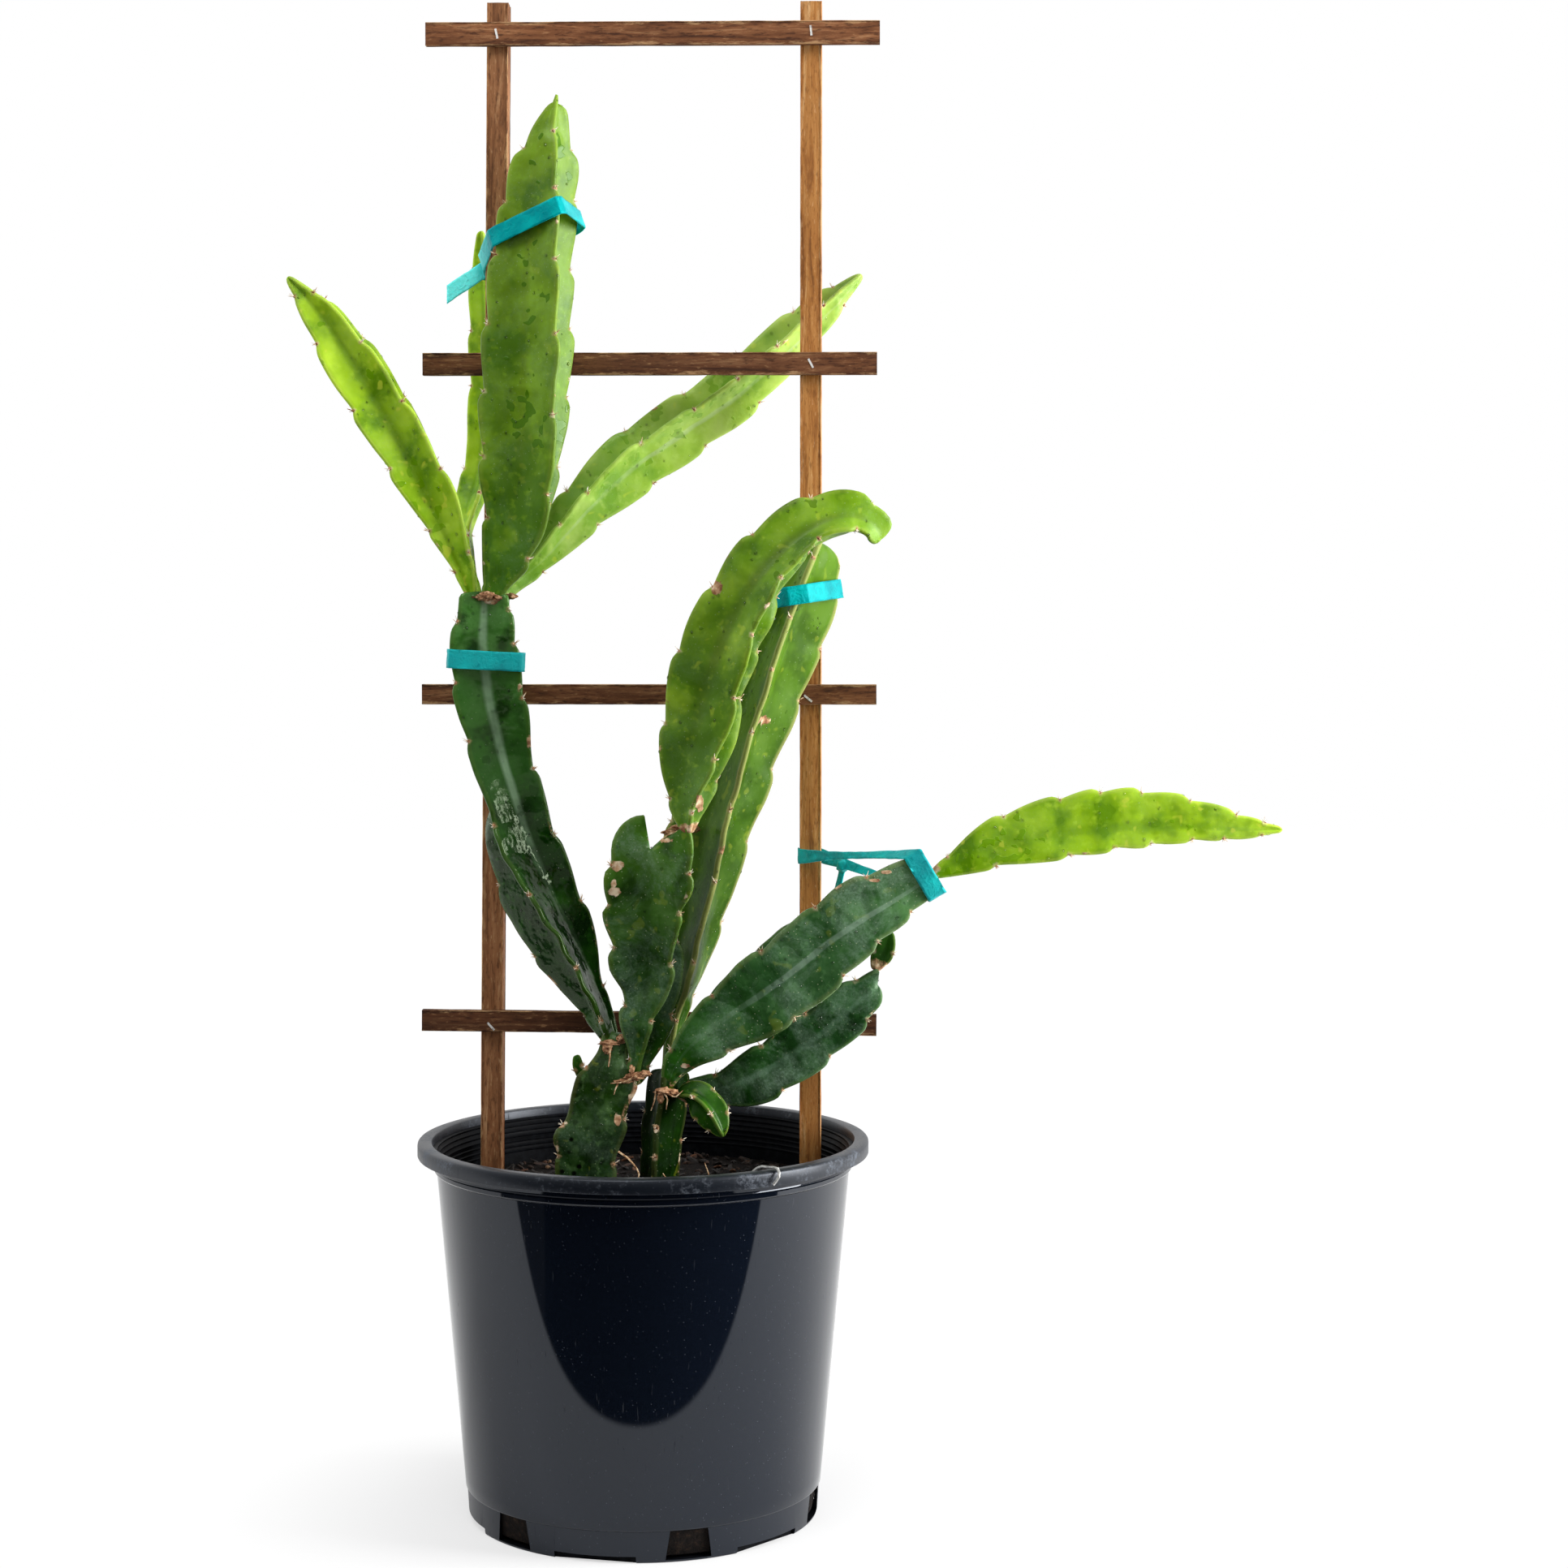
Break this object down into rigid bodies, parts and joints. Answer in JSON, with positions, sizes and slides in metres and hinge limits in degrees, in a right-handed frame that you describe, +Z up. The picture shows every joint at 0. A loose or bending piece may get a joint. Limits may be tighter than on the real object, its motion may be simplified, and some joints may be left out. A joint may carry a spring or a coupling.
{
  "type": "potted climbing cactus",
  "caption": "Climbing dragon fruit cactus with three-ribbed jointed stems, in a round black nursery pot, tied with soft tape to a wooden ladder trellis.",
  "frame": {"origin": "on the pot's axis, on the flat underside of the pot, which is the surface that it stands on", "axes": "+Z up along the pot's axis; -Y faces the viewer of the picture; +X is the viewer's right; the trellis stands across X, turned by about 1.4 degrees"},
  "size_m": [0.6166, 0.28, 0.947],
  "materials": {
    "pot_plastic": "glossy black injection-moulded polypropylene, lightly scuffed",
    "potting_mix": "dark moist potting mix with bark chips",
    "wood_dark": "rough-sawn wood with a dark brown stain",
    "wood_light": "rough-sawn wood with a worn orange-brown stain",
    "staple_steel": "dull dark staple wire",
    "garden_tape": "soft translucent teal vinyl tape",
    "galvanised_wire": "dull galvanised wire",
    "cactus_mature": "waxy mature cactus skin with corky margins",
    "cactus_dark": "waxy dark green cactus skin with corky margins",
    "cactus_grey_green": "waxy grey-green cactus skin, finely speckled",
    "cactus_upright": "waxy mid-green cactus skin with a pale bloom",
    "cactus_light": "waxy light green cactus skin",
    "cactus_young": "soft bright yellow-green young cactus skin"
  },
  "bodies": {
    "root": {"pot": "pot_plastic", "soil": "potting_mix", "stake_left": "wood_dark", "stake_right": "wood_light", "crossbar_1": "wood_dark", "crossbar_2": "wood_dark", "crossbar_3": "wood_dark", "crossbar_4": "wood_dark", "staple_1_left": "staple_steel", "staple_1_right": "staple_steel", "staple_2_left": "staple_steel", "staple_2_right": "staple_steel", "staple_3_left": "staple_steel", "staple_3_right": "staple_steel", "staple_4_left": "staple_steel", "staple_4_right": "staple_steel", "base_stem_left": "cactus_mature", "base_stem_centre": "cactus_mature", "left_arm_lower": "cactus_dark", "left_arm_shoot": "cactus_young", "left_arm_upright": "cactus_upright", "left_arm_back_shoot": "cactus_young", "left_arm_long_shoot": "cactus_young", "notched_stem": "cactus_grey_green", "curved_stem": "cactus_light", "tall_back_stem": "cactus_light", "right_arm": "cactus_grey_green", "right_arm_shoot": "cactus_young", "right_lower_arm": "cactus_dark", "right_lower_offset": "cactus_light", "centre_offset": "cactus_light", "left_sprout": "cactus_light", "tie_upper_left": "garden_tape", "tie_lower_left": "garden_tape", "tie_upper_right": "garden_tape", "tie_lower_right": "garden_tape", "rim_wire": "galvanised_wire"}
  },
  "joints": []
}
